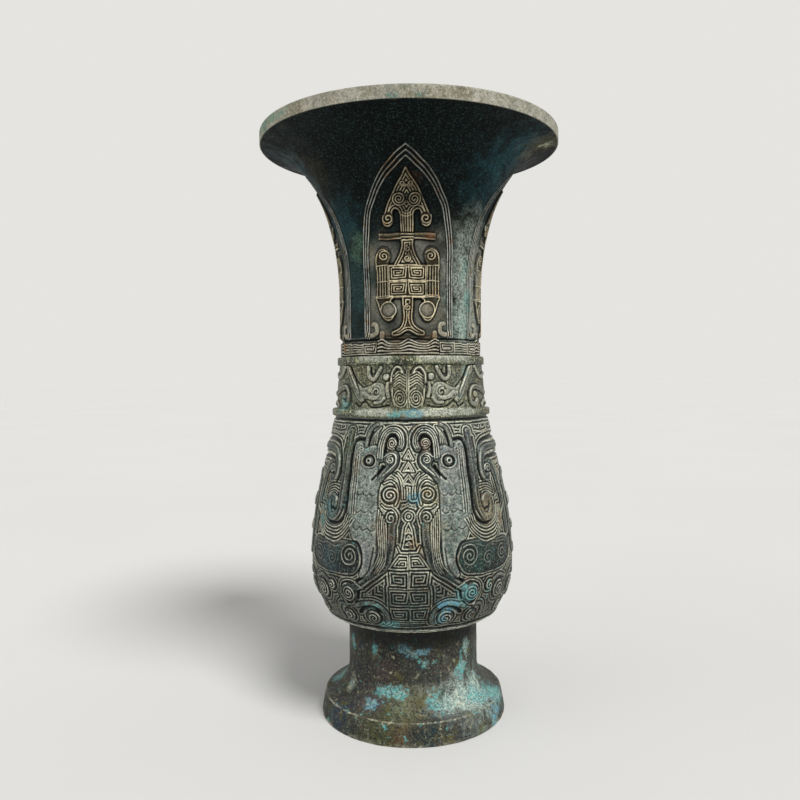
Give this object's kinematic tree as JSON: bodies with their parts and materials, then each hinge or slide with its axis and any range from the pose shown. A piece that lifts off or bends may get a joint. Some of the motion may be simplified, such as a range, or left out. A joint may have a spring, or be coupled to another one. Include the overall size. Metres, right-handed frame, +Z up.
{
  "type": "bronze trumpet-mouthed vessel",
  "caption": "Tall cast bronze vase with a trumpet mouth, ribbed collar, pear-shaped belly and hollow flared foot, with raised leaf, dragon and bird ornament; free-standing.",
  "frame": {"origin": "centre of the foot ring's underside, on the vessel's axis", "axes": "+Z up along the axis towards the mouth, -Y towards the front, +X to the viewer's right"},
  "size_m": [0.13, 0.13, 0.25],
  "materials": {
    "bronze": "dark green patina, worn on the raised lines",
    "braze": "dull filler metal"
  },
  "bodies": {
    "root": {"pedestal_foot": "bronze", "belly_shell": "bronze", "belly_floor": "bronze", "frieze_collar": "bronze", "trumpet_neck": "bronze", "neck_braze": "braze", "collar_braze": "braze", "foot_braze": "braze", "floor_braze": "braze"}
  },
  "joints": []
}
